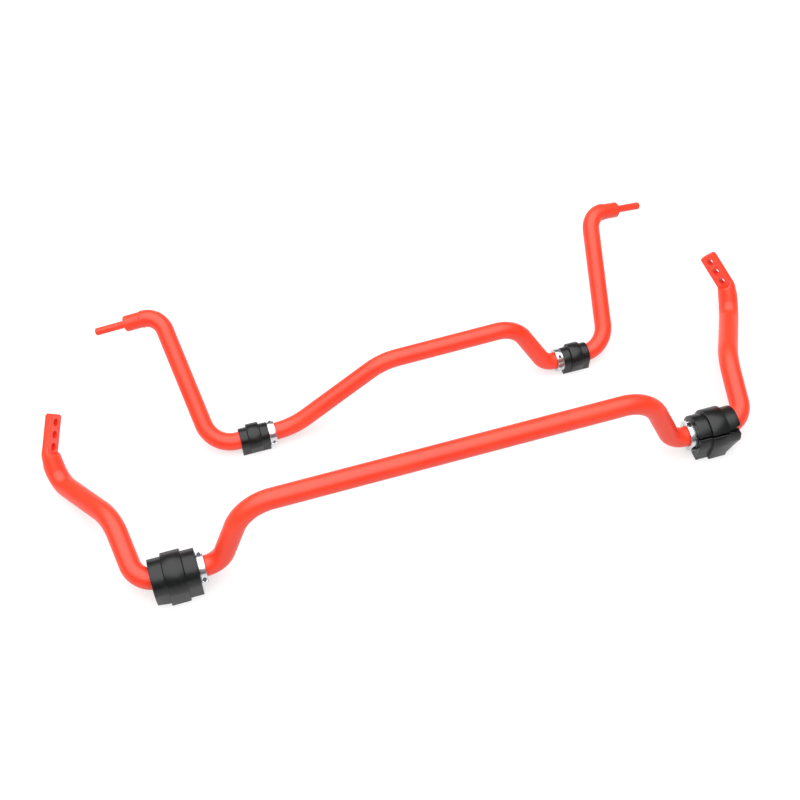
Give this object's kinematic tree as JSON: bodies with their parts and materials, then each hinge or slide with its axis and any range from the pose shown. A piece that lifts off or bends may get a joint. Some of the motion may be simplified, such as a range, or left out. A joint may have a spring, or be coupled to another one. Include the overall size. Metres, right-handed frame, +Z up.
{
  "type": "sway bar kit",
  "caption": "Front and rear anti-roll bars bent from round bar, with split rubber bushings and clamp collars; blade ends on one bar, pin ends on the other.",
  "frame": {"origin": "middle of the kit's box, on the ground that both bars lie on", "axes": "+X along the bushing axes to the right, +Y from the front bar to the rear bar, +Z up"},
  "size_m": [1.0402, 0.4026, 0.135],
  "materials": {
    "red_powder_coat": "satin red powder coat on steel bar",
    "black_rubber": "matte moulded black rubber",
    "bright_aluminium": "bright turned aluminium",
    "screw_steel": "plain steel socket screws"
  },
  "bodies": {
    "front_assembly": {"front_bar": "red_powder_coat", "front_collar_left_upper": "bright_aluminium", "front_collar_left_lower": "bright_aluminium", "front_collar_left_screw_front": "screw_steel", "front_collar_left_screw_rear": "screw_steel", "front_collar_right_upper": "bright_aluminium", "front_collar_right_lower": "bright_aluminium", "front_collar_right_screw_front": "screw_steel", "front_collar_right_screw_rear": "screw_steel"},
    "front_bushing_left": {"front_bushing_left": "black_rubber"},
    "front_bushing_right": {"front_bushing_right": "black_rubber"},
    "rear_assembly": {"rear_bar": "red_powder_coat", "rear_collar_left_upper": "bright_aluminium", "rear_collar_left_lower": "bright_aluminium", "rear_collar_left_screw_front": "screw_steel", "rear_collar_left_screw_rear": "screw_steel", "rear_collar_right_upper": "bright_aluminium", "rear_collar_right_lower": "bright_aluminium", "rear_collar_right_screw_front": "screw_steel", "rear_collar_right_screw_rear": "screw_steel"},
    "rear_bushing_left": {"rear_bushing_left": "black_rubber"},
    "rear_bushing_right": {"rear_bushing_right": "black_rubber"}
  },
  "joints": [
    {"name": "front_left_bushing_turn", "type": "hinge", "parent": "front_assembly", "child": "front_bushing_left", "pos_m": [-0.38116, -0.17025, 0.028], "axis": [1, 0, 0], "range_deg": [-30, 30]},
    {"name": "front_right_bushing_turn", "type": "hinge", "parent": "front_assembly", "child": "front_bushing_right", "pos_m": [0.38116, -0.17025, 0.028], "axis": [1, 0, 0], "range_deg": [-30, 30]},
    {"name": "rear_bar_lift", "type": "slide", "parent": "front_assembly", "child": "rear_assembly", "axis": [0, 0, 1], "range_m": [0, 0.3]},
    {"name": "rear_left_bushing_turn", "type": "hinge", "parent": "rear_assembly", "child": "rear_bushing_left", "pos_m": [-0.23257, 0.01155, 0.017], "axis": [1, 0, 0], "range_deg": [-30, 30]},
    {"name": "rear_right_bushing_turn", "type": "hinge", "parent": "rear_assembly", "child": "rear_bushing_right", "pos_m": [0.24645, 0.01155, 0.017], "axis": [1, 0, 0], "range_deg": [-30, 30]}
  ]
}
